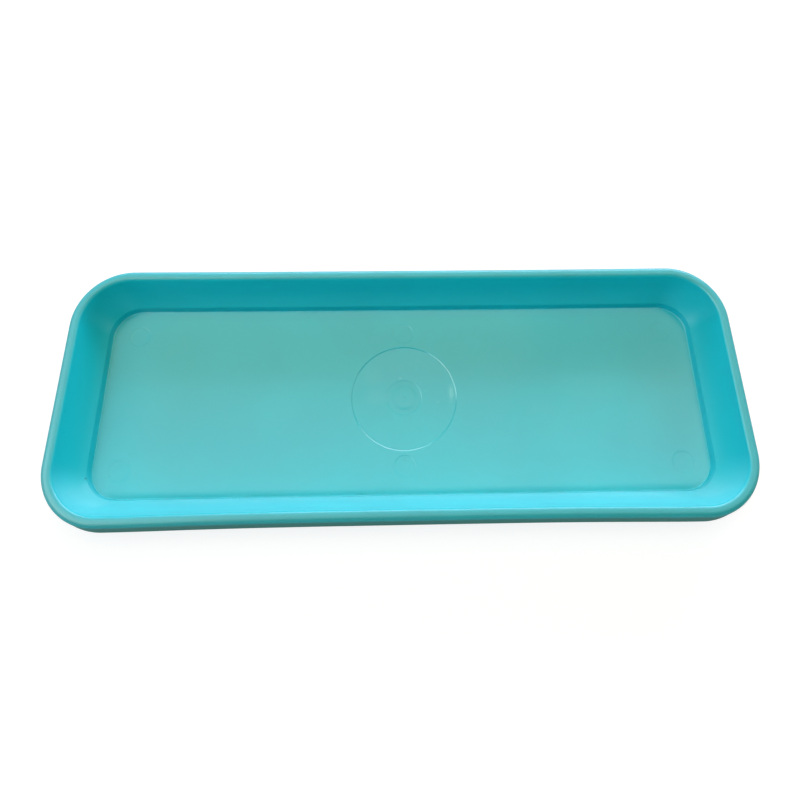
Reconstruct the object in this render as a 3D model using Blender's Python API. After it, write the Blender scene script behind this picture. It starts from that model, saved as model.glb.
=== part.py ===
"""A rectangular plant saucer, moulded in one piece of polypropylene.

One section is swept round a rounded rectangle. The section leaves the flat floor over a short steep
step, climbs a curved wall that leans outwards, turns over a rounded rim and comes down outside as
a skirt. The floor keeps the marks of the mould: a shallow round recess, the dome over the gate and
the six spots where the moulding was pushed out.

Metres, +Z up. The origin is under the middle of the floor, on the surface that the saucer stands on.
+X is along the length, and -Y is the front.
"""

import math

import bmesh
import bpy

MM = 0.001

# Overall sizes, the length and the width measured over the foot of the skirt
LENGTH = 500.0 * MM
WIDTH = 189.0 * MM
HEIGHT = 35.2 * MM

# Corner radii in plan, at the rim's outer edge and where the floor meets the step
RIM_CORNER_RADIUS = 42.0 * MM
FLOOR_CORNER_RADIUS = 21.5 * MM

# Thickness of the floor, wall and rim, and of the skirt
WALL = 2.0 * MM
SKIRT_WALL = 1.6 * MM

# Rim and skirt
RIM_WIDTH = 7.0 * MM
RIM_OUTER_ROUND = 3.0 * MM
RIM_INNER_ROUND = 2.0 * MM
SKIRT_DROP = 17.0 * MM
SKIRT_FLARE = 1.75 * MM
SKIRT_FOOT_ROUND = 0.5 * MM
CHANNEL_ROUND = 1.0 * MM

# Flat floor that the section is drawn with beside the step, longer than the round there needs
FLAT_RUN = 6.0 * MM

# Curved wall, with its lean from the vertical where it meets the rim
WALL_RUN = 13.0 * MM
WALL_TOP_LEAN = math.radians(12.0)

# Steep step round the floor
STEP_HEIGHT = 6.0 * MM
STEP_RUN = 1.0 * MM
STEP_EDGE_ROUND = 0.6 * MM
FLOOR_EDGE_ROUND = 0.8 * MM

# The long sides are drawn in where the moulding shrank, most in the middle and not at the corners
FRONT_DRAW_IN = 1.3 * MM
BACK_DRAW_IN = 0.4 * MM
DRAW_IN_FLATNESS = 4
DRAW_IN_FADE = 2

# Round recess in the middle of the floor
RECESS_RADIUS = 40.4 * MM
RECESS_DEPTH = 0.4 * MM
RECESS_EDGE_RUN = 0.4 * MM

# Dome over the gate, in the middle of the recess
DOME_RADIUS = 12.5 * MM
DOME_RISE = 0.35 * MM

# Well round the gate underneath, with the stub of the sprue in it
WELL_RADIUS = 6.0 * MM
WELL_DEPTH = 0.9 * MM
STUB_RADIUS = 1.2 * MM
STUB_CLEARANCE = 0.4 * MM

# Spots left by the ejector pins, inset from the floor's edges
PIN_RADIUS = 8.0 * MM
PIN_DEPTH = 0.2 * MM
PIN_INSET = 20.5 * MM

# Steps that each curve is cut into
CORNER_STEPS = 10
SIDE_STEPS = 8
WALL_STEPS = 6
ROUND_STEPS = 3
RECESS_STEPS = 48
DOME_STEPS = 4
SMALL_CIRCLE_STEPS = 20

# How far a cutter reaches past the face that it cuts
CUT_MARGIN = 1.0 * MM

# A round takes at most this share of the shorter side beside it
LARGEST_ROUND_SHARE = 0.45

SHARP_ANGLE = math.radians(35.0)


def clear_scene():
    """Start from an empty scene."""
    for item in list(bpy.data.objects):
        bpy.data.objects.remove(item, do_unlink=True)


def plastic():
    """Turquoise polypropylene with a soft gloss."""
    material = bpy.data.materials.new("turquoise_plastic")
    material.use_nodes = True
    shader = material.node_tree.nodes["Principled BSDF"]
    shader.inputs["Base Color"].default_value = (0.016, 0.52, 0.57, 1.0)
    shader.inputs["Roughness"].default_value = 0.38
    shader.inputs["Metallic"].default_value = 0.0
    return material


def rounded_corner(before, corner, after, radius):
    """Replace a corner of the section with an arc that touches both of its sides."""
    to_before = (before[0] - corner[0], before[1] - corner[1])
    to_after = (after[0] - corner[0], after[1] - corner[1])
    length_before = math.hypot(*to_before)
    length_after = math.hypot(*to_after)
    a = (to_before[0] / length_before, to_before[1] / length_before)
    b = (to_after[0] / length_after, to_after[1] / length_after)
    half_angle = math.acos(max(-1.0, min(1.0, a[0] * b[0] + a[1] * b[1]))) / 2
    reach = radius / math.tan(half_angle)
    reach = min(reach, LARGEST_ROUND_SHARE * min(length_before, length_after))
    radius = reach * math.tan(half_angle)
    middle = (a[0] + b[0], a[1] + b[1])
    middle_length = math.hypot(*middle)
    to_centre = radius / math.sin(half_angle) / middle_length
    centre = (corner[0] + middle[0] * to_centre, corner[1] + middle[1] * to_centre)
    start = (corner[0] + a[0] * reach, corner[1] + a[1] * reach)
    end = (corner[0] + b[0] * reach, corner[1] + b[1] * reach)
    start_angle = math.atan2(start[1] - centre[1], start[0] - centre[0])
    turn = math.atan2(end[1] - centre[1], end[0] - centre[0]) - start_angle
    turn = (turn + math.pi) % (2 * math.pi) - math.pi
    arc = []
    for step in range(ROUND_STEPS + 1):
        angle = start_angle + turn * step / ROUND_STEPS
        arc.append((centre[0] + radius * math.cos(angle), centre[1] + radius * math.sin(angle)))
    return arc


def rounded_section(corners):
    """Turn corners given as (inset, height, round) into the points of an open section."""
    points = [corners[0][:2]]
    for before, corner, after in zip(corners, corners[1:], corners[2:]):
        if corner[2] > 0:
            points += rounded_corner(before, corner, after, corner[2])
        else:
            points.append(corner[:2])
    points.append(corners[-1][:2])
    return points


def offset_line(points, distance):
    """Offset a line of the section to its right-hand side, with mitred corners."""
    normals = []
    for start, end in zip(points, points[1:]):
        run = end[0] - start[0]
        rise = end[1] - start[1]
        length = math.hypot(run, rise)
        normals.append((rise / length, -run / length))
    normals = [normals[0]] + normals + [normals[-1]]
    moved = []
    for point, before, after in zip(points, normals, normals[1:]):
        scale = distance / (1 + before[0] * after[0] + before[1] * after[1])
        moved.append((point[0] + (before[0] + after[0]) * scale,
                      point[1] + (before[1] + after[1]) * scale))
    return moved


def cut_at_height(points, height):
    """Keep the part of a rising line that lies below a height, and end it on that height."""
    kept = []
    for start, end in zip(points, points[1:]):
        kept.append(start)
        if end[1] >= height:
            share = (height - start[1]) / (end[1] - start[1])
            kept.append((start[0] + (end[0] - start[0]) * share, height))
            return kept
    return kept + [points[-1]]


def wall_curve():
    """Inner face of the wall, from the top of the step to the rim, as an arc of a circle."""
    rise = HEIGHT - WALL - STEP_HEIGHT
    chord_lean = math.atan2(WALL_RUN, rise)
    bend = chord_lean - WALL_TOP_LEAN
    radius = math.hypot(WALL_RUN, rise) / (2 * math.sin(bend))
    centre_inset = RIM_WIDTH + radius * math.cos(WALL_TOP_LEAN)
    centre_height = HEIGHT + radius * math.sin(WALL_TOP_LEAN)
    curve = []
    for step in range(WALL_STEPS + 1):
        lean = WALL_TOP_LEAN + 2 * bend * (1 - step / WALL_STEPS)
        curve.append((centre_inset - radius * math.cos(lean), centre_height - radius * math.sin(lean)))
    return curve


def floor_inset():
    """Distance from the rim's outer edge to the edge of the floor, in plan."""
    return RIM_WIDTH + WALL_RUN + STEP_RUN


def saucer_section():
    """The whole section as (inset from the rim's outer edge, height), from floor round to base."""
    floor_edge = (floor_inset(), WALL)
    on_floor = (floor_inset() + FLAT_RUN, WALL)
    inner_face = [on_floor, floor_edge] + wall_curve()
    outer_face = cut_at_height(offset_line(inner_face, -WALL), HEIGHT - WALL)

    skirt_slope = SKIRT_FLARE / SKIRT_DROP
    foot_height = HEIGHT - SKIRT_DROP
    channel_top = HEIGHT - WALL
    channel_outer_edge = SKIRT_WALL - skirt_slope * WALL

    corners = [(*on_floor, 0), (*floor_edge, FLOOR_EDGE_ROUND)]
    corners += [(*inner_face[2], STEP_EDGE_ROUND)]
    corners += [(*point, 0) for point in inner_face[3:-1]]
    corners += [(*inner_face[-1], RIM_INNER_ROUND)]
    corners += [(0.0, HEIGHT, RIM_OUTER_ROUND)]
    corners += [(-SKIRT_FLARE, foot_height, SKIRT_FOOT_ROUND)]
    corners += [(SKIRT_WALL - SKIRT_FLARE, foot_height, SKIRT_FOOT_ROUND)]
    corners += [(channel_outer_edge, channel_top, CHANNEL_ROUND)]
    corners += [(*outer_face[-1], CHANNEL_ROUND)]
    corners += [(*point, 0) for point in reversed(outer_face[2:-1])]
    corners += [(*outer_face[1], FLOOR_EDGE_ROUND + WALL)]
    corners += [(*outer_face[0], 0)]
    return rounded_section(corners)[1:-1]


def drawn_in(x, y, inset):
    """How far a point of a long side moves towards the middle of the saucer."""
    straight_half = LENGTH / 2 - SKIRT_FLARE - RIM_CORNER_RADIUS
    along = min(1.0, abs(x) / straight_half)
    swell = (1 - along ** DRAW_IN_FLATNESS) ** DRAW_IN_FADE
    climb = (floor_inset() - inset) / (floor_inset() - RIM_WIDTH)
    climb = max(0.0, min(1.0, climb))
    depth = FRONT_DRAW_IN if y < 0 else -BACK_DRAW_IN
    return depth * swell * climb


def plan_outline(inset):
    """Rounded rectangle at one inset from the rim's outer edge, counterclockwise."""
    half_length = LENGTH / 2 - SKIRT_FLARE - inset
    half_width = WIDTH / 2 - SKIRT_FLARE - inset
    share = inset / floor_inset()
    radius = RIM_CORNER_RADIUS + (FLOOR_CORNER_RADIUS - RIM_CORNER_RADIUS) * share
    outline = []
    for quarter, (side_x, side_y) in enumerate([(1, 1), (-1, 1), (-1, -1), (1, -1)]):
        centre_x = side_x * (half_length - radius)
        centre_y = side_y * (half_width - radius)
        for step in range(CORNER_STEPS + 1):
            angle = math.radians(90) * (quarter + step / CORNER_STEPS)
            outline.append((centre_x + radius * math.cos(angle), centre_y + radius * math.sin(angle)))
        if side_x == side_y:
            for step in range(1, SIDE_STEPS):
                outline.append((centre_x * (1 - 2 * step / SIDE_STEPS), outline[-1][1]))
    return [(x, y + drawn_in(x, y, inset)) for x, y in outline]


def tray_mesh():
    """Sweep the section round the outline and close it with the floor's two faces."""
    shell = bmesh.new()
    rings = []
    for inset, height in saucer_section():
        rings.append([shell.verts.new((x, y, height)) for x, y in plan_outline(inset)])
    for inner, outer in zip(rings, rings[1:]):
        for index in range(len(inner)):
            following = (index + 1) % len(inner)
            shell.faces.new((inner[index], outer[index], outer[following], inner[following]))
    shell.faces.new(rings[0])
    shell.faces.new(list(reversed(rings[-1])))
    bmesh.ops.recalc_face_normals(shell, faces=shell.faces[:])
    mesh = bpy.data.meshes.new("saucer")
    shell.to_mesh(mesh)
    shell.free()
    return mesh


def turned_cutter(name, profile, steps):
    """A turned solid from a profile of (radius, height) that starts and ends on the axis."""
    solid = bmesh.new()
    rings = []
    for radius, height in profile:
        if radius == 0:
            rings.append([solid.verts.new((0, 0, height))] * steps)
            continue
        ring = []
        for step in range(steps):
            angle = 2 * math.pi * step / steps
            ring.append(solid.verts.new((radius * math.cos(angle), radius * math.sin(angle), height)))
        rings.append(ring)
    for lower, upper in zip(rings, rings[1:]):
        for index in range(steps):
            following = (index + 1) % steps
            corners = [lower[index], lower[following], upper[following], upper[index]]
            solid.faces.new(list(dict.fromkeys(corners)))
    bmesh.ops.recalc_face_normals(solid, faces=solid.faces[:])
    mesh = bpy.data.meshes.new(name)
    solid.to_mesh(mesh)
    solid.free()
    return hidden_cutter(name, mesh)


def hidden_cutter(name, mesh):
    """An object that only cuts."""
    cutter = bpy.data.objects.new(name, mesh)
    cutter.hide_render = True
    cutter.display_type = "WIRE"
    bpy.context.collection.objects.link(cutter)
    return cutter


def recess_cutter():
    """Cuts the round recess and leaves the gate's dome standing in it."""
    bottom = WALL - RECESS_DEPTH
    profile = []
    for step in range(DOME_STEPS + 1):
        share = step / DOME_STEPS
        profile.append((DOME_RADIUS * share, bottom + DOME_RISE * (1 - share ** 2)))
    profile += [(RECESS_RADIUS - RECESS_EDGE_RUN, bottom), (RECESS_RADIUS, WALL)]
    profile += [(RECESS_RADIUS, WALL + CUT_MARGIN), (0, WALL + CUT_MARGIN)]
    return turned_cutter("recess_cutter", profile, RECESS_STEPS)


def well_cutter():
    """Cuts the well underneath and leaves the stub of the sprue in it, clear of the table."""
    profile = [(0, -CUT_MARGIN), (WELL_RADIUS, -CUT_MARGIN), (WELL_RADIUS, 0.0)]
    for step in range(1, DOME_STEPS):
        angle = math.radians(90) * step / DOME_STEPS
        radius = STUB_RADIUS + (WELL_RADIUS - STUB_RADIUS) * math.cos(angle)
        profile.append((radius, WELL_DEPTH * math.sin(angle)))
    profile += [(STUB_RADIUS, WELL_DEPTH), (STUB_RADIUS, STUB_CLEARANCE), (0, STUB_CLEARANCE)]
    return turned_cutter("well_cutter", profile, SMALL_CIRCLE_STEPS)


def pin_places():
    """Middles of the ejector spots: one near each corner of the floor and one on each long side."""
    half_length = LENGTH / 2 - SKIRT_FLARE - floor_inset() - PIN_INSET
    half_width = WIDTH / 2 - SKIRT_FLARE - floor_inset() - PIN_INSET
    return [(x, y) for x in (-half_length, 0.0, half_length) for y in (-half_width, half_width)]


def pin_cutter():
    """Cuts the six shallow spots left by the ejector pins."""
    spots = bmesh.new()
    height = PIN_DEPTH + CUT_MARGIN
    for x, y in pin_places():
        made = bmesh.ops.create_cone(spots, cap_ends=True, segments=SMALL_CIRCLE_STEPS,
                                     radius1=PIN_RADIUS, radius2=PIN_RADIUS, depth=height)
        middle = WALL - PIN_DEPTH + height / 2
        bmesh.ops.translate(spots, verts=made["verts"], vec=(x, y, middle))
    mesh = bpy.data.meshes.new("pin_cutter")
    spots.to_mesh(mesh)
    spots.free()
    return hidden_cutter("pin_cutter", mesh)


def saucer():
    """The saucer with the marks of its mould cut into the floor."""
    mesh = tray_mesh()
    mesh.materials.append(plastic())
    mesh.shade_smooth()
    mesh.set_sharp_from_angle(angle=SHARP_ANGLE)
    tray = bpy.data.objects.new("saucer", mesh)
    bpy.context.collection.objects.link(tray)
    for cutter in (recess_cutter(), well_cutter(), pin_cutter()):
        cut = tray.modifiers.new(cutter.name, "BOOLEAN")
        cut.operation = "DIFFERENCE"
        cut.object = cutter
    return tray


clear_scene()
saucer()
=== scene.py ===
# %% [markdown]
# A plant saucer in turquoise plastic
# The real saucer is one moulding. Molten polypropylene is pressed through one small hole, the gate,
# into the middle of a steel mould, and pins push the finished piece out. So this scene has one piece
# to make, and the work goes into its section, the marks of its mould, its surface and its light.
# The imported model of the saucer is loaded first, as a fixed frame: it says where the piece goes and
# how large it is.

# %% Load the frame
import math

import bpy
from mathutils import Matrix, Vector


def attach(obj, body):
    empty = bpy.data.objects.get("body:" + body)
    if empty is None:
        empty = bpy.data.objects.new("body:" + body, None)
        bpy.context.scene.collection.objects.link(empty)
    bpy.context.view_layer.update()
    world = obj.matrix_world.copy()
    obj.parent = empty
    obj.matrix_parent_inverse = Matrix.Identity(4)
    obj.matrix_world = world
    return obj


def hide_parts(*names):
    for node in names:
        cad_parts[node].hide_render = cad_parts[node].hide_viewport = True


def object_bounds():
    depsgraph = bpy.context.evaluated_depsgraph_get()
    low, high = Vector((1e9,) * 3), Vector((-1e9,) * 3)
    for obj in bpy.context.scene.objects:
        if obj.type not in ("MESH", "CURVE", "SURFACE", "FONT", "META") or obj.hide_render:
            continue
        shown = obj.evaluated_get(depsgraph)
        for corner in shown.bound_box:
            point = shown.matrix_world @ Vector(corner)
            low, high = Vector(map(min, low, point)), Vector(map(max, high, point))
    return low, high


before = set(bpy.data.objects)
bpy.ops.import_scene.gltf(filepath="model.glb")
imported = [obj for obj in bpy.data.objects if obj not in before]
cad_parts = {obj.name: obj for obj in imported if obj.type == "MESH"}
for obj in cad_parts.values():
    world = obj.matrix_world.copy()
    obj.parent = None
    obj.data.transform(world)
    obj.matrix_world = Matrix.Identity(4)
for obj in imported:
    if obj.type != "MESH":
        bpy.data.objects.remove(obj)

MM = 0.001
cad_low, cad_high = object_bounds()
LENGTH, WIDTH, HEIGHT = cad_high - cad_low
print("saucer box in mm:", [round(side / MM, 2) for side in (LENGTH, WIDTH, HEIGHT)])


# %% [markdown]
# Two small helpers for nodes
# Geometry and materials are both made with nodes here, and a node tree is easier to read as sums
# than as a list of links. A Wire is the output of a node, and adding or multiplying wires puts the
# Math nodes in by itself. Every other node comes from one method, Net.node, which first makes the
# settings and then fills the sockets, with numbers or with wires.

# %% Wires that do sums
class Wire:
    """The output of a node. Sums on it add the Math nodes that work them out."""

    def __init__(self, net, socket):
        self.net = net
        self.socket = socket

    def maths(self, operation, *others):
        values = dict(enumerate((self, *others)))
        return self.net.node("ShaderNodeMath", {"operation": operation}, values)

    def other(self, name):
        """Another output of the same node."""
        return Wire(self.net, self.net.find(self.socket.node.outputs, name))

    def band(self, low, high):
        """A soft step that is 0 up to the low value and 1 from the high one."""
        return self.net.node("ShaderNodeMapRange", {"interpolation_type": "SMOOTHSTEP"},
                             {"Value": self, "From Min": low, "From Max": high})

    def __add__(self, value):
        return self.maths("ADD", value)

    def __sub__(self, value):
        return self.maths("SUBTRACT", value)

    def __rsub__(self, value):
        return (self * -1) + value

    def __mul__(self, value):
        return self.maths("MULTIPLY", value)

    def __truediv__(self, value):
        return self.maths("DIVIDE", value)

    def __pow__(self, value):
        return self.maths("POWER", value)

    __radd__ = __add__
    __rmul__ = __mul__


# %% A net of nodes
class Net:
    """A node tree, filled through one method."""

    def __init__(self, tree):
        self.tree = tree

    def find(self, sockets, name):
        """A socket by its number or its identifier."""
        if isinstance(name, int):
            return sockets[name]
        return next(socket for socket in sockets if socket.identifier == name)

    def plug(self, socket, value):
        if isinstance(value, Wire):
            self.tree.links.new(value.socket, socket)
        else:
            socket.default_value = value

    def node(self, kind, settings=None, values=None, output=0):
        """Add a node, make its settings, fill its sockets and return one of its outputs."""
        made = self.tree.nodes.new(kind)
        for name, value in (settings or {}).items():
            setattr(made, name, value)
        for name, value in (values or {}).items():
            socket = self.find(made.inputs, name)
            for one in value if isinstance(value, list) else [value]:
                self.plug(socket, one)
        return Wire(self, self.find(made.outputs, output)) if made.outputs else made

    def noise(self, place, scale, detail=2.0, spread=0.0):
        """Soft random patches between about 0.3 and 0.7, scale times as many to the metre."""
        values = {"Vector": place, "Scale": scale, "Detail": detail, "Distortion": spread}
        return self.node("ShaderNodeTexNoise", {}, values, "Fac")

    def blend(self, share, first, second):
        """From one colour to another."""
        values = {"Factor_Float": share, "A_Color": first, "B_Color": second}
        return self.node("ShaderNodeMix", {"data_type": "RGBA"}, values, "Result_Color")

    def group_input(self, name, kind):
        """A named input of a geometry tree."""
        made = self.tree.interface.new_socket(name, in_out="INPUT", socket_type=kind)
        return self.node("NodeGroupInput", {}, {}, made.identifier)


# %% [markdown]
# The section of the saucer
# Cut across, the saucer is a flat floor, a short steep step, a curved wall that leans outwards, a
# rounded rim, and a skirt that comes down outside the wall with a hollow groove behind it. It could
# be drawn by hand as a curve. Here it is a list of corners, each with its own round, because that is
# how such a section is drawn for a mould, and each size can then be changed by itself. Every corner
# is (distance in from the rim's outer edge, height, round). A round takes up some of the line on
# both sides of its corner, so the points of the wall that lie under the rim's inner round are left
# out, or they would hold that round small.

# %% Sizes of the section
WALL = 2.0 * MM
SKIRT_WALL = 1.6 * MM
RIM_WIDTH = 7.0 * MM
RIM_OUTER_ROUND = 4.0 * MM
RIM_INNER_ROUND = 2.8 * MM
SKIRT_DROP = 17.0 * MM
SKIRT_FLARE = 1.75 * MM
SKIRT_FOOT_ROUND = 0.5 * MM
GROOVE_ROUND = 1.0 * MM
WALL_RUN = 13.0 * MM
WALL_TOP_LEAN = math.radians(12.0)
WALL_STEPS = 28
STEP_HEIGHT = 6.0 * MM
STEP_RUN = 1.0 * MM
STEP_EDGE_ROUND = 0.6 * MM
FLOOR_EDGE_ROUND = 0.8 * MM
FLOOR_INSET = RIM_WIDTH + WALL_RUN + STEP_RUN
FLAT_COLLAR = 1.6 * MM
print("the floor starts", round(FLOOR_INSET / MM, 1), "mm in from the rim's edge")


# %% Curve of the wall
def wall_curve():
    """Inner face of the wall from the top of the step to the rim, as an arc of a circle."""
    rise = HEIGHT - WALL - STEP_HEIGHT
    bend = math.atan2(WALL_RUN, rise) - WALL_TOP_LEAN
    radius = math.hypot(WALL_RUN, rise) / (2 * math.sin(bend))
    centre_inset = RIM_WIDTH + radius * math.cos(WALL_TOP_LEAN)
    centre_height = HEIGHT + radius * math.sin(WALL_TOP_LEAN)
    curve = []
    for step in range(WALL_STEPS + 1):
        lean = WALL_TOP_LEAN + 2 * bend * (1 - step / WALL_STEPS)
        curve.append((centre_inset - radius * math.cos(lean),
                      centre_height - radius * math.sin(lean)))
    return curve


print("wall:", len(wall_curve()), "points")


# %% A line beside a line
def offset_line(points, distance):
    """A line beside a line of the section, on its left-hand side, with mitred corners."""
    normals = []
    for start, end in zip(points, points[1:]):
        across = Vector((start[1] - end[1], end[0] - start[0]))
        normals.append(across.normalized())
    normals = [normals[0]] + normals + [normals[-1]]
    moved = []
    for point, before, after in zip(points, normals, normals[1:]):
        moved.append(tuple(Vector(point) + (before + after) * distance / (1 + before.dot(after))))
    return moved


def cut_at_height(points, height):
    """The part of a rising line that lies below a height, ended on that height."""
    below = [point for point in points if point[1] < height]
    last, following = points[len(below) - 1], points[len(below)]
    share = (height - last[1]) / (following[1] - last[1])
    return below + [(last[0] + (following[0] - last[0]) * share, height)]


# %% Corners of the whole section
def saucer_section():
    """From the floor's top, over the wall, rim and skirt, and back under the floor."""
    on_floor = (FLOOR_INSET + FLAT_COLLAR, WALL)
    floor_edge = (FLOOR_INSET, WALL)
    step_top, *wall, rim_edge = wall_curve()
    inner = [on_floor, floor_edge, step_top, *wall, rim_edge]
    groove_top = HEIGHT - WALL
    outer = cut_at_height(offset_line(inner, WALL), groove_top)
    under_floor, under_edge, *wall_back, groove_edge = outer
    foot = HEIGHT - SKIRT_DROP
    skirt_in_groove = SKIRT_WALL - SKIRT_FLARE * WALL / SKIRT_DROP
    rim_round_reach = RIM_INNER_ROUND * math.tan((math.pi / 2 - WALL_TOP_LEAN) / 2)

    corners = [(*on_floor, 0), (*floor_edge, FLOOR_EDGE_ROUND), (*step_top, STEP_EDGE_ROUND)]
    corners += [(*point, 0) for point in wall if math.dist(point, rim_edge) > rim_round_reach]
    corners += [(*rim_edge, RIM_INNER_ROUND), (0.0, HEIGHT, RIM_OUTER_ROUND)]
    corners += [(-SKIRT_FLARE, foot, SKIRT_FOOT_ROUND)]
    corners += [(SKIRT_WALL - SKIRT_FLARE, foot, SKIRT_FOOT_ROUND)]
    corners += [(skirt_in_groove, groove_top, GROOVE_ROUND), (*groove_edge, GROOVE_ROUND)]
    corners += [(*point, 0) for point in reversed(wall_back)]
    corners += [(*under_edge, FLOOR_EDGE_ROUND + WALL), (*under_floor, 0)]
    return corners


section_corners = saucer_section()
print("section:", len(section_corners), "corners")


# %% A section as an object
def add_object(name, data):
    """A new object in the scene."""
    made = bpy.data.objects.new(name, data)
    bpy.context.scene.collection.objects.link(made)
    return made


def section_object(name, corners):
    """A line of edges through the corners, which keeps each corner's round as an attribute."""
    mesh = bpy.data.meshes.new(name)
    points = [(inset, 0.0, height) for inset, height, _ in corners]
    mesh.from_pydata(points, [(n, n + 1) for n in range(len(points) - 1)], [])
    rounds = mesh.attributes.new("round", "FLOAT", "POINT")
    rounds.data.foreach_set("value", [size for _, _, size in corners])
    return add_object(name, mesh)


# %% [markdown]
# The sweep
# In plan the saucer is a rounded rectangle whose corner radius shrinks from 42 mm at the rim to
# 21.5 mm at the floor, so the section can't just be extruded along one path. Geometry nodes can
# follow the rule exactly: Fillet Curve rounds the section, a grid gets one row for each point of
# the section and one column for each place round the plan, and one Set Position puts every point
# of the grid where the rule says. A circle is a rounded rectangle with nothing between its corners,
# so the same sweep also turns the round marks of the mould.

# %% Sizes in plan
RIM_CORNER_RADIUS = 42.0 * MM
FLOOR_CORNER_RADIUS = 21.5 * MM
FRONT_DRAW_IN = 1.3 * MM
BACK_DRAW_IN = 0.4 * MM
DRAW_IN_FLATNESS = 4
WELD = 0.004 * MM
half_side = LENGTH / 2 - SKIRT_FLARE - RIM_CORNER_RADIUS
print("straight part of a long side in mm:", round(2 * half_side / MM, 1))


# %% The rule of the plan
def square_corner(turns):
    """Sign of x and of y at a corner of a square, counted in quarter turns from the first."""
    angle = (turns + 0.5) * (math.pi / 2)
    reach = math.sqrt(2)
    return angle.maths("COSINE") * reach, angle.maths("SINE") * reach


def place_in_plan(column, inset, sizes):
    """Where a column of the grid stands in plan, at a distance in from the edge."""
    steps = sizes["Corner steps"] + sizes["Side steps"]
    quarter = (column / steps).maths("FLOOR")
    step = column - quarter * steps
    turned = (step / sizes["Corner steps"]).maths("MINIMUM", 1.0)
    slid = (step - sizes["Corner steps"]).maths("MAXIMUM", 0.0) / sizes["Side steps"]
    here_x, here_y = square_corner(quarter)
    next_x, next_y = square_corner(quarter + 1)
    share_x = here_x + (next_x - here_x) * slid
    share_y = here_y + (next_y - here_y) * slid
    angle = (quarter + turned) * (math.pi / 2)
    deep = inset / sizes["Floor inset"]
    radius = sizes["Edge radius"] + (sizes["Floor radius"] - sizes["Edge radius"]) * deep
    x = share_x * (sizes["Half length"] - inset - radius) + angle.maths("COSINE") * radius
    y = share_y * (sizes["Half width"] - inset - radius) + angle.maths("SINE") * radius
    return x, y


def draw_in(x, y, inset, sizes):
    """How far a long side moves in where the moulding shrank."""
    straight = sizes["Half length"] - sizes["Edge radius"]
    along = (x.maths("ABSOLUTE") / straight.maths("MAXIMUM", MM)).maths("MINIMUM", 1.0)
    swell = (1 - along ** DRAW_IN_FLATNESS) ** 2
    climb = (sizes["Floor inset"] - inset) / (sizes["Floor inset"] - RIM_WIDTH)
    climb = climb.maths("MAXIMUM", 0.0).maths("MINIMUM", 1.0)
    in_front = y.maths("LESS_THAN", 0.0)
    depth = in_front * (sizes["Front draw-in"] + sizes["Back draw-in"]) - sizes["Back draw-in"]
    return depth * swell * climb


# %% Length across the section
def note_across(net, geometry, length):
    """Write on each point how far along the section it is from the floor, for the plastic to read."""
    return net.node("GeometryNodeStoreNamedAttribute", {"data_type": "FLOAT", "domain": "POINT"},
                    {"Geometry": geometry, "Name": "across", "Value": length})


# %% The tree that sweeps a section
SWEEP_SIZES = ["Half length", "Half width", "Edge radius", "Floor radius", "Floor inset",
               "Front draw-in", "Back draw-in"]
SWEEP_COUNTS = ["Corner steps", "Side steps", "Round steps"]


def sweep_tree():
    """Geometry nodes that carry a section round a rounded rectangle."""
    net = Net(bpy.data.node_groups.new("sweep", "GeometryNodeTree"))
    section = net.group_input("Section", "NodeSocketGeometry")
    sizes = {name: net.group_input(name, "NodeSocketFloat") for name in SWEEP_SIZES}
    sizes.update({name: net.group_input(name, "NodeSocketInt") for name in SWEEP_COUNTS})
    net.tree.interface.new_socket("Mesh", in_out="OUTPUT", socket_type="NodeSocketGeometry")

    rounds = net.node("GeometryNodeInputNamedAttribute", {"data_type": "FLOAT"}, {"Name": "round"})
    line = net.node("GeometryNodeMeshToCurve", {}, {"Mesh": section})
    line = net.node("GeometryNodeFilletCurve", {"mode": "POLY"}, {
        "Curve": line, "Radius": rounds, "Count": sizes["Round steps"], "Limit Radius": True})
    rows = net.node("GeometryNodeAttributeDomainSize", {"component": "CURVE"}, {"Geometry": line})
    columns = (sizes["Corner steps"] + sizes["Side steps"]) * 4 + 1
    grid = net.node("GeometryNodeMeshGrid", {}, {"Vertices X": rows, "Vertices Y": columns})

    index = net.node("GeometryNodeInputIndex")
    row = ((index + 0.5) / columns).maths("FLOOR")
    column = index - row * columns

    def on_row(kind, value):
        """What the section's own point has, for every point of its row."""
        return net.node("GeometryNodeSampleIndex", {"data_type": kind, "domain": "POINT"},
                        {"Geometry": line, "Value": value, "Index": row})

    point = on_row("FLOAT_VECTOR", net.node("GeometryNodeInputPosition"))
    inset = net.node("ShaderNodeSeparateXYZ", {}, {"Vector": point}, "X")
    x, y = place_in_plan(column, inset, sizes)
    y = y + draw_in(x, y, inset, sizes)
    place = net.node("ShaderNodeCombineXYZ", {}, {"X": x, "Y": y, "Z": inset.other("Z")})
    swept = net.node("GeometryNodeSetPosition", {}, {"Geometry": grid, "Position": place})
    length = on_row("FLOAT", net.node("GeometryNodeSplineParameter", {}, {}, "Length"))
    swept = note_across(net, swept, length)
    swept = net.node("GeometryNodeMergeByDistance", {}, {"Geometry": swept, "Distance": WELD})
    net.node("NodeGroupOutput", {}, {0: swept})
    return net.tree


sweep = sweep_tree()
print("sweep:", len(sweep.nodes), "nodes")


# %% [markdown]
# The marks of the mould
# In the middle of the floor is a shallow round recess, 81 mm across, with a low dome over the gate
# and a faint dish round the dome. Six round spots show where the ejector pins pushed. Underneath, a
# small well keeps the broken stub of plastic at the gate clear of the table. They could be cut in
# with booleans. Turned discs are kinder to the surface: each mark is a small section of its own,
# swept round a circle, and its outer edge lies flat in the floor, so that nothing shades across the
# flat. The slopes are S-shaped and level at both ends, because the mould's polish softens its edges,
# and a sharp edge in a glossy floor would catch the light as a hard line.

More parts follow.
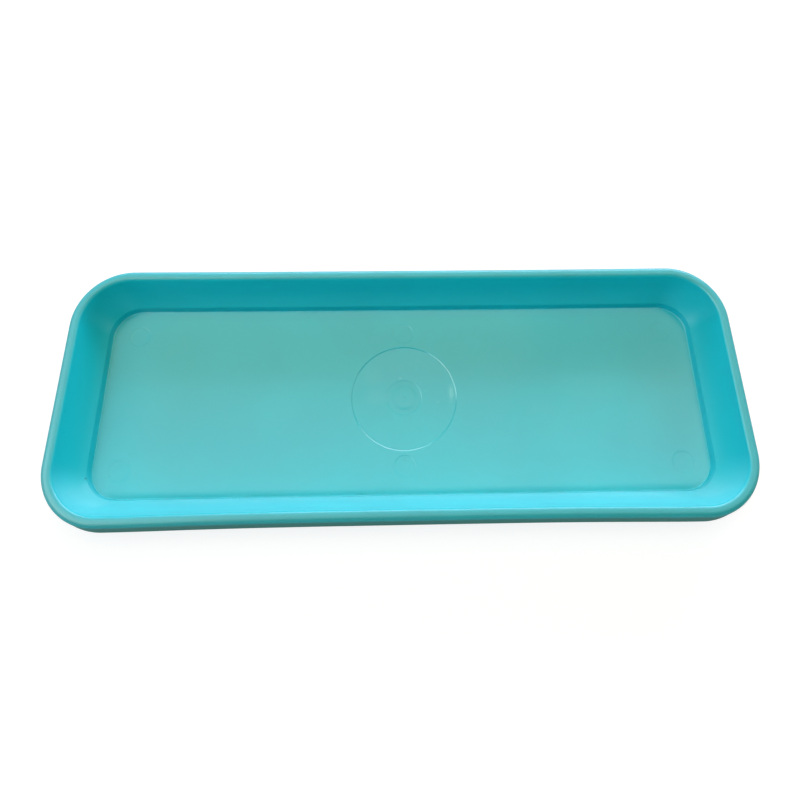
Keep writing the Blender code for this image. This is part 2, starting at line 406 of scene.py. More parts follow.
# %% Sizes of the marks
RECESS_RADIUS = 40.4 * MM
RECESS_DEPTH = 0.4 * MM
RECESS_EDGE_RUN = 0.95 * MM
DISH_RADIUS = 13.6 * MM
DISH_DEPTH = 0.17 * MM
DISH_EDGE_RUN = 0.6 * MM
DOME_RADIUS = 11.0 * MM
DOME_TOP_RADIUS = 6.8 * MM
DOME_RISE = 0.35 * MM
WELL_RADIUS = 6.0 * MM
WELL_DEPTH = 0.9 * MM
WELL_EDGE_ROUND = 0.3 * MM
STUB_RADIUS = 1.2 * MM
STUB_CLEARANCE = 0.4 * MM
STUB_EDGE_ROUND = 0.15 * MM
PIN_RADIUS = 8.0 * MM
PIN_DEPTH = 0.10 * MM
PIN_EDGE_RUN = 0.3 * MM
PIN_INSET = 20.5 * MM
PIN_COLUMNS = 3
PIN_ROWS = 2
MARK_COLLAR = 0.8 * MM
CURVE_STEPS = 16


# %% Sections of the marks
def soft_step(start, end):
    """An S-shaped line between two points of a section, level at both ends."""
    line = []
    for step in range(CURVE_STEPS + 1):
        share = step / CURVE_STEPS
        eased = share * share * (3 - 2 * share)
        line.append((start[0] + (end[0] - start[0]) * share,
                     start[1] + (end[1] - start[1]) * eased, 0))
    return line


def recess_section():
    """From the top of the gate's dome, over its dish and the recess, to the floor round it."""
    middle = MARK_COLLAR + RECESS_RADIUS
    dish = -RECESS_DEPTH - DISH_DEPTH
    dome = dish + DOME_RISE
    dish_edge = middle - DISH_RADIUS
    corners = [(middle, dome, 0)]
    corners += soft_step((middle - DOME_TOP_RADIUS, dome), (middle - DOME_RADIUS, dish))
    corners += soft_step((dish_edge + DISH_EDGE_RUN, dish), (dish_edge, -RECESS_DEPTH))
    corners += soft_step((MARK_COLLAR + RECESS_EDGE_RUN, -RECESS_DEPTH), (MARK_COLLAR, 0.0))
    return corners + [(0.0, 0.0, 0)]


def pin_section():
    """A spot left by an ejector pin, from its middle to the floor round it."""
    edge = MARK_COLLAR + PIN_EDGE_RUN
    corners = [(MARK_COLLAR + PIN_RADIUS, -PIN_DEPTH, 0), (edge + PIN_RADIUS / 2, -PIN_DEPTH, 0)]
    return corners + soft_step((edge, -PIN_DEPTH), (MARK_COLLAR, 0.0)) + [(0.0, 0.0, 0)]


def well_section():
    """The well under the floor, from the underside up to the stub in its middle."""
    corners = [(0.0, 0.0, 0), (MARK_COLLAR, 0.0, WELL_EDGE_ROUND)]
    for step in range(1, CURVE_STEPS):
        angle = math.radians(90) * step / CURVE_STEPS
        radius = STUB_RADIUS + (WELL_RADIUS - STUB_RADIUS) * math.cos(angle)
        corners.append((MARK_COLLAR + WELL_RADIUS - radius, WELL_DEPTH * math.sin(angle), 0))
    stub = MARK_COLLAR + WELL_RADIUS - STUB_RADIUS
    corners += [(stub, WELL_DEPTH, 0), (stub, STUB_CLEARANCE, STUB_EDGE_ROUND)]
    return corners + [(MARK_COLLAR + WELL_RADIUS, STUB_CLEARANCE, 0)]


for corners in (recess_section(), pin_section(), well_section()):
    print("mark:", len(corners), "corners")


# %% [markdown]
# Putting the moulding together
# On the real saucer all of this is one skin of plastic. The swept section is open in the middle of
# the floor, and so are the marks at their outer edges. The holes between them could be filled by
# hand. Here a tree finds every edge that has only one face, turns the edges into curves and lets
# Fill Curve close the flat between them, once above and once below, so it comes out right again
# when a size changes.

# %% The tree of the whole saucer
UNDERSIDE = 0.12
CORNER_STEPS = 40
SIDE_STEPS = 36
ROUND_STEPS = 9
CIRCLE_STEPS = 40
MARK_ROUND_STEPS = 5


def saucer_tree():
    """Geometry nodes that sweep the section and the marks and fill the flat floor between them."""
    net = Net(bpy.data.node_groups.new("saucer", "GeometryNodeTree"))
    section = net.group_input("Section", "NodeSocketGeometry")
    marks = {name: net.group_input(name, "NodeSocketObject")
             for name in ("Recess", "Pin spot", "Well")}
    sizes = {name: net.group_input(name, "NodeSocketFloat")
             for name in ("Length", "Width", "Flare", "Wall", "Pin inset")}
    material = net.group_input("Material", "NodeSocketMaterial")
    net.tree.interface.new_socket("Mesh", in_out="OUTPUT", socket_type="NodeSocketGeometry")
    half_length = sizes["Length"] / 2 - sizes["Flare"]
    half_width = sizes["Width"] / 2 - sizes["Flare"]

    def swept(line, values):
        identifiers = {item.name: item.identifier for item in sweep.interface.items_tree}
        values = {identifiers[name]: value for name, value in values.items()}
        values[identifiers["Section"]] = line
        return net.node("GeometryNodeGroup", {"node_tree": sweep}, values)

    def turned(mark, radius):
        line = net.node("GeometryNodeObjectInfo", {}, {"Object": marks[mark]}, "Geometry")
        reach = radius + MARK_COLLAR
        return swept(line, {
            "Half length": reach, "Half width": reach, "Edge radius": reach,
            "Floor radius": 0.0, "Floor inset": reach,
            "Corner steps": CIRCLE_STEPS, "Side steps": 1, "Round steps": MARK_ROUND_STEPS})

    def raised(key):
        """A value for a node's socket that lifts things from the underside to the floor's top."""
        return {key: net.node("ShaderNodeCombineXYZ", {}, {"Z": sizes["Wall"]})}

    def filled(edges):
        """The flat between the open edges of the parts."""
        line = net.node("GeometryNodeMeshToCurve", {}, {"Mesh": parts, "Selection": edges})
        return net.node("GeometryNodeFillCurve", {"mode": "TRIANGLES"}, {"Curve": line})

    wall = swept(section, {
        "Half length": half_length, "Half width": half_width, "Edge radius": RIM_CORNER_RADIUS,
        "Floor radius": FLOOR_CORNER_RADIUS, "Floor inset": FLOOR_INSET,
        "Front draw-in": FRONT_DRAW_IN, "Back draw-in": BACK_DRAW_IN,
        "Corner steps": CORNER_STEPS, "Side steps": SIDE_STEPS, "Round steps": ROUND_STEPS})

    pin_span = FLOOR_INSET + sizes["Pin inset"]
    places = net.node("GeometryNodeMeshGrid", {},
                      {"Size X": (half_length - pin_span) * 2, "Size Y": (half_width - pin_span) * 2,
                       "Vertices X": PIN_COLUMNS, "Vertices Y": PIN_ROWS})
    pins = net.node("GeometryNodeInstanceOnPoints", {},
                    {"Points": places, "Instance": turned("Pin spot", PIN_RADIUS)})
    recess = turned("Recess", RECESS_RADIUS)
    above = net.node("GeometryNodeJoinGeometry", {}, {"Geometry": [recess, pins]})
    above = net.node("GeometryNodeTransform", {}, {"Geometry": above, **raised("Translation")})
    above = note_across(net, net.node("GeometryNodeRealizeInstances", {}, {"Geometry": above}), 0.0)
    well = note_across(net, turned("Well", WELL_RADIUS), UNDERSIDE)
    parts = net.node("GeometryNodeJoinGeometry", {}, {"Geometry": [wall, above, well]})
    parts = net.node("GeometryNodeRealizeInstances", {}, {"Geometry": parts})

    place = net.node("GeometryNodeInputPosition")
    height = net.node("ShaderNodeSeparateXYZ", {}, {"Vector": place}, "Z")
    is_open = net.node("GeometryNodeInputMeshEdgeNeighbors").maths("LESS_THAN", 2)
    is_top = height.maths("GREATER_THAN", sizes["Wall"] / 2)
    top = filled(is_open * is_top)
    top = net.node("GeometryNodeSetPosition", {}, {"Geometry": top, **raised("Offset")})
    base = filled(is_open * (1 - is_top))
    base = note_across(net, net.node("GeometryNodeFlipFaces", {}, {"Mesh": base}), UNDERSIDE)

    whole = net.node("GeometryNodeJoinGeometry", {}, {"Geometry": [parts, top, base]})
    whole = net.node("GeometryNodeMergeByDistance", {}, {"Geometry": whole, "Distance": WELD})
    whole = net.node("GeometryNodeRealizeInstances", {}, {"Geometry": whole})
    whole = net.node("GeometryNodeSetMaterial", {}, {"Geometry": whole, "Material": material})
    net.node("NodeGroupOutput", {}, {0: whole})
    return net.tree


moulding = saucer_tree()
print("saucer tree:", len(moulding.nodes), "nodes")


# %% [markdown]
# The plastic
# The saucer is coloured all through with turquoise pigment, so nothing is painted and nothing can
# chip. What the eye reads as plastic is small. The pigment is a little cloudy and is drawn out in
# streaks that fan from the gate. The mould leaves the floor polished, the walls and the rim satin,
# and the hidden side dull. Hands have rubbed the rim and the skirt greyer. Dust and painted shade
# darken the skirt, most along its foot. A pale wash on the front wall is a painted sheen, where the
# window lights it most. The floor has some specks and pale patches, and two of the patches are
# painted highlights, by the recess and over the dome. An image could hold all this. A pattern worked
# out from the place on the saucer has no seams and stays sharp close up, so the plastic reads Object
# coordinates, in metres, and the length across the section that the sweep wrote.

# %% Where a point is on the saucer
SKIRT_FOOT = HEIGHT - SKIRT_DROP
RIM_STARTS = 36.8 * MM
SKIRT_STARTS = 45.0 * MM
SKIRT_ENDS = 61.0 * MM
print("across the section the rim starts at", round(RIM_STARTS / MM, 1), "mm")


class Spot:
    """The point that is being shaded, as wires."""

    def __init__(self, net):
        self.net = net
        self.place = net.node("ShaderNodeTexCoord", {}, {}, "Object")
        self.x = net.node("ShaderNodeSeparateXYZ", {}, {"Vector": self.place}, "X")
        self.y = self.x.other("Y")
        self.z = self.x.other("Z")
        self.across = net.node("ShaderNodeAttribute", {"attribute_name": "across"}, {}, "Fac")
        self.hidden = self.across.band(SKIRT_ENDS, SKIRT_ENDS + WALL)

    def vector(self, x, y, z):
        return self.net.node("ShaderNodeCombineXYZ", {}, {"X": x, "Y": y, "Z": z})

    def patch(self, middle, half_size):
        """1 in the middle of an upright ellipse in plan, falling softly to 0 at its edge."""
        over_x = (self.x - middle[0]) / half_size[0]
        over_y = (self.y - middle[1]) / half_size[1]
        return (1 - over_x * over_x - over_y * over_y).maths("MAXIMUM", 0.0) ** 2


# %% Worn and dusty places, painted shade and a painted sheen
WEAR_SCALE = 30.0
WEAR = 0.5
WEAR_PATCHES = 0.08
# The skirt is darkened partly by dust and partly by painted shade, most along its foot.
DUST_AND_SHADE_SCALE = 60.0
DUST_AND_SHADE = 0.45
DARKER_AT_FOOT = 0.4
# A painted sheen: the front wall is washed paler where the window lights it most.
PAINTED_SHEEN = 0.1
SHEEN_FULL_AT = -75.0 * MM
SHEEN_GONE_AT = -45.0 * MM


def rubbed(spot):
    """Where hands have greyed the rim and the skirt."""
    edge = spot.across.band(RIM_STARTS - MM, RIM_STARTS + 2 * MM)
    edge = edge * (1 - spot.across.band(SKIRT_ENDS - 2 * MM, SKIRT_ENDS))
    worn = spot.net.noise(spot.place, WEAR_SCALE, 3.0, 0.6).band(0.3, 0.7)
    return edge * (worn * WEAR_PATCHES + WEAR)


def dust_and_shade(spot):
    """Dust on the skirt, and painted shade that darkens it, most along its foot."""
    outside = spot.across.band(SKIRT_STARTS - MM, SKIRT_STARTS + 3 * MM)
    outside = outside * (1 - spot.across.band(SKIRT_ENDS + 4 * MM, SKIRT_ENDS + 8 * MM))
    foot = 1 - (spot.z - SKIRT_FOOT).band(0.1 * MM, 0.7 * MM)
    patchy = spot.net.noise(spot.place, DUST_AND_SHADE_SCALE, 3.0).band(0.1, 0.7)
    return outside * (foot * patchy * DARKER_AT_FOOT + DUST_AND_SHADE)


def painted_sheen(spot):
    """A painted sheen: a pale wash on the front wall, where the window lights it most."""
    wall = spot.across.band(2 * MM, 4 * MM)
    wall = wall * (1 - spot.across.band(RIM_STARTS - 2 * MM, RIM_STARTS))
    return wall * (1 - spot.y.band(SHEEN_FULL_AT, SHEEN_GONE_AT)) * PAINTED_SHEEN


# %% Specks, painted highlights and pale patches
# Each is (middle, half its size in x and y, strength).
SPECKS = [
    ((-227.6 * MM, -57.1 * MM), (0.8 * MM, 1.2 * MM), 0.8),
    ((-75.7 * MM, 66.0 * MM), (0.8 * MM, 0.8 * MM), 0.5),
    ((0.3 * MM, 0.0), (0.7 * MM, 0.7 * MM), 0.8),
    ((-0.3 * MM, -46.3 * MM), (2.6 * MM, 2.6 * MM), 0.12),
]
# The first two pale patches are painted highlights: a glint near the right edge of the recess and a
# bright spot above the dome. The others are faint pale patches.
GLINTS_AND_PALE_PATCHES = [
    ((36.2 * MM, 3.4 * MM), (3.4 * MM, 9.0 * MM), 0.5),
    ((-2.8 * MM, 15.2 * MM), (1.8 * MM, 1.4 * MM), 0.25),
    ((25.6 * MM, -3.8 * MM), (2.0 * MM, 1.0 * MM), 0.12),
    ((-24.0 * MM, 16.0 * MM), (12.0 * MM, 10.0 * MM), 0.06),
    ((-21.0 * MM, 1.0 * MM), (14.0 * MM, 9.0 * MM), 0.06),
]
print("marks of use:", len(SPECKS), "specks and", len(GLINTS_AND_PALE_PATCHES), "scuffs")


def marked(spot, places):
    """Soft patches on the inside of the saucer, each with its own strength."""
    share = sum(spot.patch(middle, half_size) * strength for middle, half_size, strength in places)
    return share * (1 - spot.hidden)


# %% Colour of the pigment
TURQUOISE_DEEP = (0.003, 0.450, 0.530, 1.0)
TURQUOISE_PALE = (0.003, 0.475, 0.555, 1.0)
RUBBED_COLOUR = (0.030, 0.280, 0.310, 1.0)
# The olive colour darkens the skirt as dust and as painted shade, the pale grey-blue one is a painted
# sheen on the front wall, and the pale turquoise one paints two highlights and some pale patches on
# the floor.
DUST_AND_SHADE_COLOUR = (0.120, 0.140, 0.060, 1.0)
SHEEN_COLOUR = (0.600, 0.700, 0.720, 1.0)
SPECK_COLOUR = (0.004, 0.170, 0.200, 1.0)
PALE_PATCH_COLOUR = (0.220, 0.680, 0.700, 1.0)
CLOUD_SCALE = 11.0
STREAK_SCALE = 6.0
STREAK_STRETCH = 3.0
STREAK_SHARE = 0.15


def pigment(spot):
    """Clouds, faint streaks that fan out from the gate, wear, dust and specks, and painted shade,
    sheen and highlights.
    """
    net = spot.net
    reach = (spot.x * spot.x + spot.y * spot.y + MM * MM).maths("SQRT")
    fan = spot.vector(spot.x / reach, spot.y / reach, reach * STREAK_STRETCH)
    clouds = net.noise(spot.place, CLOUD_SCALE, 4.0, 0.4) * (1 - STREAK_SHARE)
    cloudy = clouds + net.noise(fan, STREAK_SCALE, 3.0) * STREAK_SHARE
    colour = net.blend(cloudy.band(0.38, 0.62), TURQUOISE_DEEP, TURQUOISE_PALE)
    colour = net.blend(rubbed(spot), colour, RUBBED_COLOUR)
    # Painted sheen: the front wall is paler where the window lights it.
    colour = net.blend(painted_sheen(spot), colour, SHEEN_COLOUR)
    # Pale patches on the floor, two of them painted highlights.
    colour = net.blend(marked(spot, GLINTS_AND_PALE_PATCHES), colour, PALE_PATCH_COLOUR)
    colour = net.blend(marked(spot, SPECKS), colour, SPECK_COLOUR)
    # Dust and painted shade darken the skirt, most of all along its foot.
    return net.blend(dust_and_shade(spot), colour, DUST_AND_SHADE_COLOUR)


# %% Gloss
POLISHED = 0.13
SATIN = 0.30
DULL = 0.42
DULL_SCALE = 35.0
DULL_PATCHES = 0.08
BREATH_SCALE = 17.0
BREATH = 0.05
FINE_SCALE = 240.0
FINE = 0.03
WEAR_DULLS = 0.3
DUST_DULLS = 0.3
PALE_PATCHES_DULL = 0.4


def roughness(spot):
    """A polished floor, satin walls and rim, and a dull underside, all duller where worn."""
    net = spot.net
    breath = net.noise(spot.place, BREATH_SCALE, 5.0, 1.2).band(0.45, 0.72) * BREATH
    fine = net.noise(spot.place, FINE_SCALE, 3.0) * FINE
    on_wall = spot.across.band(0.2 * MM, 1.2 * MM)
    shown = breath + fine + (on_wall * (SATIN - POLISHED) + POLISHED) + rubbed(spot) * WEAR_DULLS
    dull = net.noise(spot.place, DULL_SCALE, 3.0) * DULL_PATCHES + (DULL - DULL_PATCHES / 2)
    shown = shown + (dull - shown) * spot.hidden
    return shown + dust_and_shade(spot) * DUST_DULLS + marked(spot, GLINTS_AND_PALE_PATCHES) * PALE_PATCHES_DULL


# %% [markdown]
# Relief in the plastic
# A floor as wide as this never comes out flat. As the melt cools it bows by less than a millimetre
# and sinks to a shallow gutter along the front, and its skin keeps soft waves and a faint orange
# peel. These could be moved points. They are too shallow for any outline to show, but the gloss
# shows every tilt of the surface, so a bump that tilts the light is all they need.

# %% Relief too shallow to model
BOW = 0.14
GUTTER_WIDTH = 8.0 * MM
GUTTER_DEPTH = 0.30 * MM
WAVE_SCALE = 13.0
WAVE_HEIGHT = 0.05 * MM
PEEL_SCALE = 160.0
PEEL_HEIGHT = 0.002 * MM
GRAIN_SCALE = 1600.0
GRAIN_HEIGHT = 0.01 * MM
floor_corner_bow = BOW * (LENGTH / 2 - FLOOR_INSET) ** 2 * (WIDTH / 2 - FLOOR_INSET)
print("bow at the corners of the floor in mm:", round(floor_corner_bow / MM, 2))


def relief(spot):
    """Height in metres: the floor bows, sinks along the front, and has a fine texture."""
    net = spot.net
    bow = spot.x * spot.x * spot.y * BOW
    inwards = spot.y + (WIDTH / 2 - SKIRT_FLARE - FLOOR_INSET)
    gutter = (1 - inwards / GUTTER_WIDTH).maths("MAXIMUM", 0.0) ** 2 * -GUTTER_DEPTH
    on_floor = 1 - spot.across.band(1.0 * MM, 2.5 * MM)
    waves = net.noise(spot.place, WAVE_SCALE, 2.0) * WAVE_HEIGHT
    peel = net.noise(spot.place, PEEL_SCALE, 2.0) * PEEL_HEIGHT
    grain = net.noise(spot.place, GRAIN_SCALE, 2.0) * GRAIN_HEIGHT * spot.hidden
    return (bow + gutter) * on_floor + waves + peel + grain


# %% The plastic
PLASTIC_IOR = 1.49


def empty_material(name):
    """A new material, with a net that has no nodes yet."""
    material = bpy.data.materials.new(name)
    material.use_nodes = True
    material.node_tree.nodes.clear()
    return material, Net(material.node_tree)


def turquoise_plastic():
    material, net = empty_material("turquoise_plastic")
    spot = Spot(net)
    heights = {"Strength": 1.0, "Distance": 1.0, "Height": relief(spot)}
    shader = net.node("ShaderNodeBsdfPrincipled", {}, {
        "Base Color": pigment(spot),
        "Roughness": roughness(spot),
        "IOR": PLASTIC_IOR,
        "Normal": net.node("ShaderNodeBump", {}, heights)})
    net.node("ShaderNodeOutputMaterial", {}, {"Surface": shader})
    return material


plastic = turquoise_plastic()
print("plastic:", len(plastic.node_tree.nodes), "nodes")


# %% [markdown]
# Making the saucer
# In the factory one shot of melt fills the mould. Here one modifier does as much: it takes the
# sections, sweeps them, fills the floor between them and gives the whole its plastic. It could stay
# on its object. It is turned into a plain mesh instead, which can be measured and handed on as it
# is, and the sections are taken away, since they are drawings and not pieces.

# %% Make the saucer
def set_inputs(modifier, values):
    """Set a modifier's inputs by name, through the identifiers of its sockets."""
    for item in modifier.node_group.interface.items_tree:
        if item.in_out == "INPUT" and item.name in values:
            modifier[item.identifier] = values[item.name]


def plain_mesh(source, name):
    """What an object's modifiers make, as the mesh of a new object."""
    graph = bpy.context.evaluated_depsgraph_get()
    mesh = bpy.data.meshes.new_from_object(source.evaluated_get(graph))
    mesh.name = name
    return add_object(name, mesh)


def moulded_saucer():
    sources = {
        "Section": section_object("section", section_corners),
        "Recess": section_object("recess_section", recess_section()),
        "Pin spot": section_object("pin_section", pin_section()),
        "Well": section_object("well_section", well_section()),
    }
    nodes = sources["Section"].modifiers.new("saucer", "NODES")
    nodes.node_group = moulding
    set_inputs(nodes, {
        "Recess": sources["Recess"], "Pin spot": sources["Pin spot"], "Well": sources["Well"],
        "Length": LENGTH, "Width": WIDTH, "Flare": SKIRT_FLARE, "Wall": WALL, "Pin inset": PIN_INSET,
        "Material": plastic,
    })
    piece = plain_mesh(sources["Section"], "saucer_moulding")
    for line in sources.values():
        bpy.data.objects.remove(line, do_unlink=True)
    return piece


saucer = moulded_saucer()
print("saucer:", len(saucer.data.vertices), "points,", len(saucer.data.polygons), "faces")


# %% [markdown]
# A saucer that holds water
# The real saucer has no hole, so no edge of the mesh may be open. A picture can't show this, since a
# gap finer than a hair is lost in it, and one could look for gaps point by point. It is surer to
# count: bmesh knows the faces beside each edge, and a volume above nought says that they face
# outwards. The piece then takes the imported solid's place and rides on its body.

# %% Check that it is closed
import bmesh


def closed_volume(piece):
    """Volume of a mesh in cubic centimetres, and how many of its edges are open."""
    solid = bmesh.new()
    solid.from_mesh(piece.data)
    open_edges = sum(1 for edge in solid.edges if len(edge.link_faces) != 2)
    volume = solid.calc_volume(signed=True)
    solid.free()
    return volume / (10 * MM) ** 3, open_edges


volume, open_edges = closed_volume(saucer)
print("volume in cubic cm:", round(volume, 1), "open edges:", open_edges)

# %% Put it in the solid's place
saucer.data.shade_smooth()
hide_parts("saucer")
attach(saucer, "root")
print("finish:", [material.name for material in saucer.data.materials if material])


# %% [markdown]
# The camera
# The photograph was taken from half a metre above the front of the saucer, steeply down and a few
# degrees askew. It was cropped, so its line of sight doesn't pass through its middle, and the camera
# needs a shift. A camera could be placed by eye. These numbers come from fitting a pinhole camera to
# the outline, the rim and the edge of the floor, because only the right height and lens bring all
# three into place together.

# %% Camera
PICTURE = 800
SENSOR = 36.0
FOCAL_PIXELS = 687.28
SIGHT_X = 414.31
SIGHT_Y = 273.23
CAMERA_AZIMUTH = math.radians(-4.093)
CAMERA_ELEVATION = math.radians(65.661)
CAMERA_ROLL = math.radians(3.277)
CAMERA_DISTANCE = 568.55 * MM
CAMERA_TARGET = Vector((9.81 * MM, 104.13 * MM, WALL))


def studio_camera():
    data = bpy.data.cameras.new("camera")
    data.sensor_width = SENSOR
    data.lens = FOCAL_PIXELS / PICTURE * SENSOR
    data.shift_x = (PICTURE / 2 - SIGHT_X) / PICTURE
    data.shift_y = (SIGHT_Y - PICTURE / 2) / PICTURE
    camera = add_object("camera", data)
    level = Vector((math.cos(CAMERA_AZIMUTH), math.sin(CAMERA_AZIMUTH), 0))
    ahead = Vector((-math.sin(CAMERA_AZIMUTH), math.cos(CAMERA_AZIMUTH), 0))
    back = Vector((0, 0, 1)) * math.sin(CAMERA_ELEVATION) - ahead * math.cos(CAMERA_ELEVATION)
    upright = back.cross(level)
    right = level * math.cos(CAMERA_ROLL) + upright * math.sin(CAMERA_ROLL)
    up = upright * math.cos(CAMERA_ROLL) - level * math.sin(CAMERA_ROLL)
    turn = Matrix((right, up, back)).transposed().to_4x4()
    camera.matrix_world = Matrix.Translation(CAMERA_TARGET + back * CAMERA_DISTANCE) @ turn
    bpy.context.scene.camera = camera
    return camera


stand = studio_camera().matrix_world.translation
print("camera at, in mm:", [round(value / MM) for value in stand])


# %% [markdown]
# The floor and the room
# In the photograph the saucer lies on plain white. A bright white plane would do for that, but it
# would also throw light up into the skirt, whose front is dark. So the floor looks white to the
# camera and in reflections, still takes the saucer's shadow, and counts as grey when it lights the
# skirt. Light Path tells these rays apart. Close beside the saucer the mirrored rays meet the grey
# as well, because there the saucer shades the floor, and further out the glow rises until no shadow
# is left. From below and under the foot the floor is clear, or nobody could see the underside. The
# world is white to the same rays, so the white background adds no light to the saucer.

# %% White to the eye
def seen_directly(net):
    """1 for rays from the camera, off a glossy surface or through glass, 0 for rays that light."""
    camera_ray = net.node("ShaderNodeLightPath", {}, {}, "Is Camera Ray")
    seen = camera_ray + camera_ray.other("Is Glossy Ray") + camera_ray.other("Is Transmission Ray")
    return seen.maths("MINIMUM", 1.0)


def matt(net, shade):
    """A matt grey surface."""
    return net.node("ShaderNodeBsdfDiffuse", {}, {"Color": (shade, shade, shade, 1.0)})


# %% How far from the saucer
def beside_saucer(net):
    """How far a point of the floor lies outside the saucer's outline."""
    place = net.node("ShaderNodeTexCoord", {}, {}, "Object")
    x = net.node("ShaderNodeSeparateXYZ", {}, {"Vector": place}, "X")
    y = x.other("Y")
    past_x = (x.maths("ABSOLUTE") - (LENGTH / 2 - RIM_CORNER_RADIUS)).maths("MAXIMUM", 0.0)
    past_y = (y.maths("ABSOLUTE") - (WIDTH / 2 - RIM_CORNER_RADIUS)).maths("MAXIMUM", 0.0)
    return (past_x * past_x + past_y * past_y).maths("SQRT") - RIM_CORNER_RADIUS


# %% Floor
FLOOR_REACH = 4.0
FLOOR_DROP = 0.05 * MM
FLOOR_GREY = 0.25
FLOOR_WHITE = 0.26
FLOOR_GLOW = 0.83
GLOW_RISES_FROM = 0.2
GLOW_FULL_AT = 1.0
SHADE_REACH = 100.0 * MM
WINDOW_INSET = 24.5 * MM


def floor_surface(net):
    """Glowing white to the eye, grey to the light, and clear from below and under the foot."""
    beside = beside_saucer(net)
    glow = beside.band(GLOW_RISES_FROM, GLOW_FULL_AT) * (1 - FLOOR_GLOW) + FLOOR_GLOW
    glow = net.node("ShaderNodeEmission", {}, {"Strength": glow})
    white = net.node("ShaderNodeAddShader", {}, {0: matt(net, FLOOR_WHITE), 1: glow})
    mirrored = net.node("ShaderNodeLightPath", {}, {}, "Is Glossy Ray")
    shaded = mirrored * (1 - beside.band(0.0, SHADE_REACH))
    surface = net.node("ShaderNodeMixShader", {}, {
        0: seen_directly(net) - shaded, 1: matt(net, FLOOR_GREY), 2: white})
    from_below = net.node("ShaderNodeNewGeometry", {}, {}, "Backfacing")
    covered = beside.maths("LESS_THAN", -WINDOW_INSET)
    return net.node("ShaderNodeMixShader", {}, {
        0: from_below.maths("MAXIMUM", covered), 1: surface,
        2: net.node("ShaderNodeBsdfTransparent")})


def floor():
    mesh = bpy.data.meshes.new("floor")
    corners = [(x * FLOOR_REACH, y * FLOOR_REACH, -FLOOR_DROP)
               for x, y in ((-1, -1), (1, -1), (1, 1), (-1, 1))]
    mesh.from_pydata(corners, [], [(0, 1, 2, 3)])
    material, net = empty_material("floor")
    net.node("ShaderNodeOutputMaterial", {}, {"Surface": floor_surface(net)})
    mesh.materials.append(material)
    ground = add_object("floor", mesh)
    print("floor:", len(net.tree.nodes), "nodes")


floor()


# %% World
ROOM_LIGHT = 0.05
WHITE = (1.0, 1.0, 1.0)


def surroundings():
    world = bpy.data.worlds.new("studio")
    bpy.context.scene.world = world
    world.use_nodes = True
    world.node_tree.nodes.clear()
    net = Net(world.node_tree)
    strength = seen_directly(net) * (1.0 - ROOM_LIGHT) + ROOM_LIGHT
    background = net.node("ShaderNodeBackground", {},
                          {"Color": (*WHITE, 1.0), "Strength": strength})
    net.node("ShaderNodeOutputWorld", {}, {"Surface": background})
    print("world:", len(net.tree.nodes), "nodes")


surroundings()
bpy.context.scene.view_settings.view_transform = "Standard"


# %% [markdown]
# The lights
# A glossy surface shows its surroundings, so each light is placed by what it does in the plastic.
# The floor of the saucer mirrors the sheets of light overhead, and the seam between the near and the
# far ones is the line that crosses it. The windows behind make the front wall and the front of the
# ring bright. The fills round the room light the walls and the skirt and aren't mirrored, or their
# shapes would stand in the gloss. The sheets in front and at the right and the lamp for the thin
# arcs on the ring are the other way round: they are only mirrored, and light nothing. Area lights do
# this better than a picture of a room, because each can be moved and dimmed by itself.

# %% Soft lights
def softbox(name, middle, size, aim, brightness, colour, mirrored=True, lighting=True):
    """A glowing rectangle. Its brightness is that of its face, where 1 is white."""
    data = bpy.data.lights.new(name, "AREA")
    data.shape = "RECTANGLE"
    data.size, data.size_y = size
    data.energy = math.pi * size[0] * size[1] * brightness
    data.color = colour
    light = add_object(name, data)
    light.location = middle
    light.rotation_euler = (Vector(aim) - Vector(middle)).to_track_quat("-Z", "Y").to_euler()
    light.visible_glossy = mirrored
    light.visible_diffuse = lighting


# %% Sheets of light overhead
CEILING = 1.5


def overhead(name, x_range, y_range, brightness, colour, lighting=True):
    """A level softbox at the ceiling, between two places in x and in y, facing down."""
    middle = (sum(x_range) / 2, sum(y_range) / 2)
    size = (x_range[1] - x_range[0], y_range[1] - y_range[0])
    softbox(name, (*middle, CEILING), size, (*middle, 0.0), brightness, colour, lighting=lighting)


overhead("overhead_near", (-0.78, 1.15), (-0.02, 0.43), 2.35, (1.0, 0.94, 0.75))
overhead("overhead_far", (-0.78, 0.41), (0.43, 1.2), 1.8, (1.0, 0.86, 0.4))
overhead("overhead_far_right", (0.41, 1.15), (0.43, 1.2), 1.2, (1.0, 0.84, 0.36))
overhead("overhead_left", (-1.4, -0.78), (-0.02, 1.0), 1.5, (0.8, 0.9, 0.95))
overhead("overhead_front", (-0.78, 1.15), (-0.7, -0.18), 2.4, (1.0, 0.84, 0.7), lighting=False)
overhead("overhead_right", (1.15, 2.0), (-0.4, 1.0), 3.2, (1.0, 0.7, 0.5), lighting=False)
print("sheets overhead:", len(bpy.data.lights))


# %% Windows and lamps round the saucer
ROOM_RADIUS = 2.5


def around(name, azimuths, elevations, brightness, colour, **rays):
    """A softbox facing the saucer, between angles in degrees. Azimuth 0 is behind, 90 at the right."""
    azimuth = math.radians(sum(azimuths) / 2)
    elevation = math.radians(sum(elevations) / 2)
    level = math.cos(elevation)
    towards = Vector((math.sin(azimuth) * level, math.cos(azimuth) * level, math.sin(elevation)))
    half_wide = math.radians(azimuths[1] - azimuths[0]) / 2
    half_high = math.radians(elevations[1] - elevations[0]) / 2
    size = (2 * ROOM_RADIUS * math.tan(half_wide) * level, 2 * ROOM_RADIUS * math.tan(half_high))
    softbox(name, towards * ROOM_RADIUS, size, (0.0, 0.0, 0.0), brightness, colour, **rays)


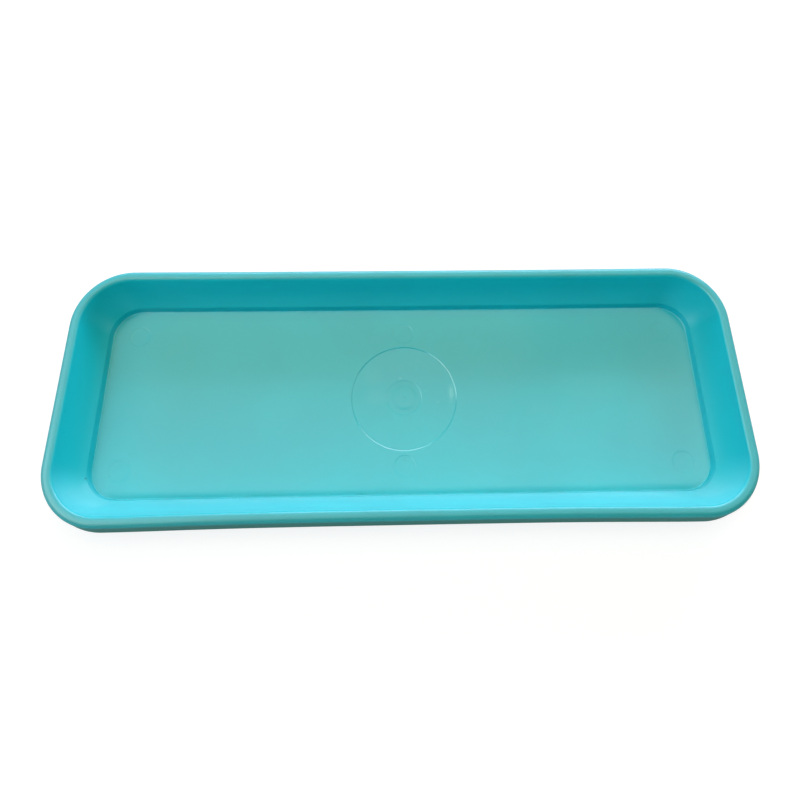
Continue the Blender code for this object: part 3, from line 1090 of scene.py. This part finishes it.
around("window", (-22, 42), (6, 26), 11.8, (0.94, 0.83, 1.0))
around("window_top", (-22, 42), (26, 38), 1.5, (1.0, 0.5, 0.4))
around("room_right", (80, 110), (14, 36), 3.1, (0.85, 1.0, 0.95), mirrored=False)
around("room_left", (250, 275), (5, 22), 5.8, (0.86, 0.88, 1.0), mirrored=False)
around("room_front", (155, 205), (6, 26), 1.7, (0.6, 1.0, 0.95), mirrored=False)
around("low_front", (150, 210), (0.5, 5), 5.0, (0.8, 1.0, 0.85), mirrored=False)
around("left_high", (235, 285), (35, 60), 2.9, (0.7, 0.94, 1.0), mirrored=False)
around("ring_lamp", (220, 290), (34, 60), 8.0, (1.0, 0.97, 0.9), lighting=False)
print("lights so far:", len(bpy.data.lights))


# %% [markdown]
# A lamp for the underside
# To look at the underside of a real saucer, one turns it over, and light falls on it. Here that
# would take a second scene. A plain lamp under the clear floor lights the hidden side where it
# lies. From above nothing of it is seen, because its light only comes up where the foot covers the
# floor.

# %% A lamp under the floor
LAMP_DEPTH = 1.5
LAMP_SIDE = 2.0
LAMP_BRIGHTNESS = 2.0

softbox("lamp_below", (0.0, 0.0, -LAMP_DEPTH), (LAMP_SIDE, LAMP_SIDE), (0.0, 0.0, 0.0),
        LAMP_BRIGHTNESS, WHITE)
print("lights:", len(bpy.data.lights))


# %% [markdown]
# The dark card
# Whoever photographs something glossy holds a black card where the gloss should stay calm. The world
# is white to mirrored rays, so without a card the whole front of the room would shine in the
# plastic. The world could be darkened, but then the background would be too. The card stands 3 m in
# front, is bent back over the saucer at the height of a high ceiling, and the camera sees past it.

# %% Dark card in front
CARD_NEAR = 3.0
CARD_WIDE = 9.0
CARD_HIGH = 4.0
CARD_TOP_ENDS = 0.1
CARD_SHADE = 0.02


def dark_card():
    """A bent card that keeps the front half of the room dark in the plastic."""
    mesh = bpy.data.meshes.new("dark_card")
    edges = [(-CARD_NEAR, 0.0), (-CARD_NEAR, CARD_HIGH), (-CARD_TOP_ENDS, CARD_HIGH)]
    corners = [(side * CARD_WIDE, y, z) for y, z in edges for side in (-1, 1)]
    mesh.from_pydata(corners, [], [(0, 1, 3, 2), (2, 3, 5, 4)])
    material, net = empty_material("dark_card")
    net.node("ShaderNodeOutputMaterial", {}, {"Surface": matt(net, CARD_SHADE)})
    mesh.materials.append(material)
    card = add_object("dark_card", mesh)
    card.visible_camera = False
    print("card:", len(mesh.polygons), "faces")


dark_card()
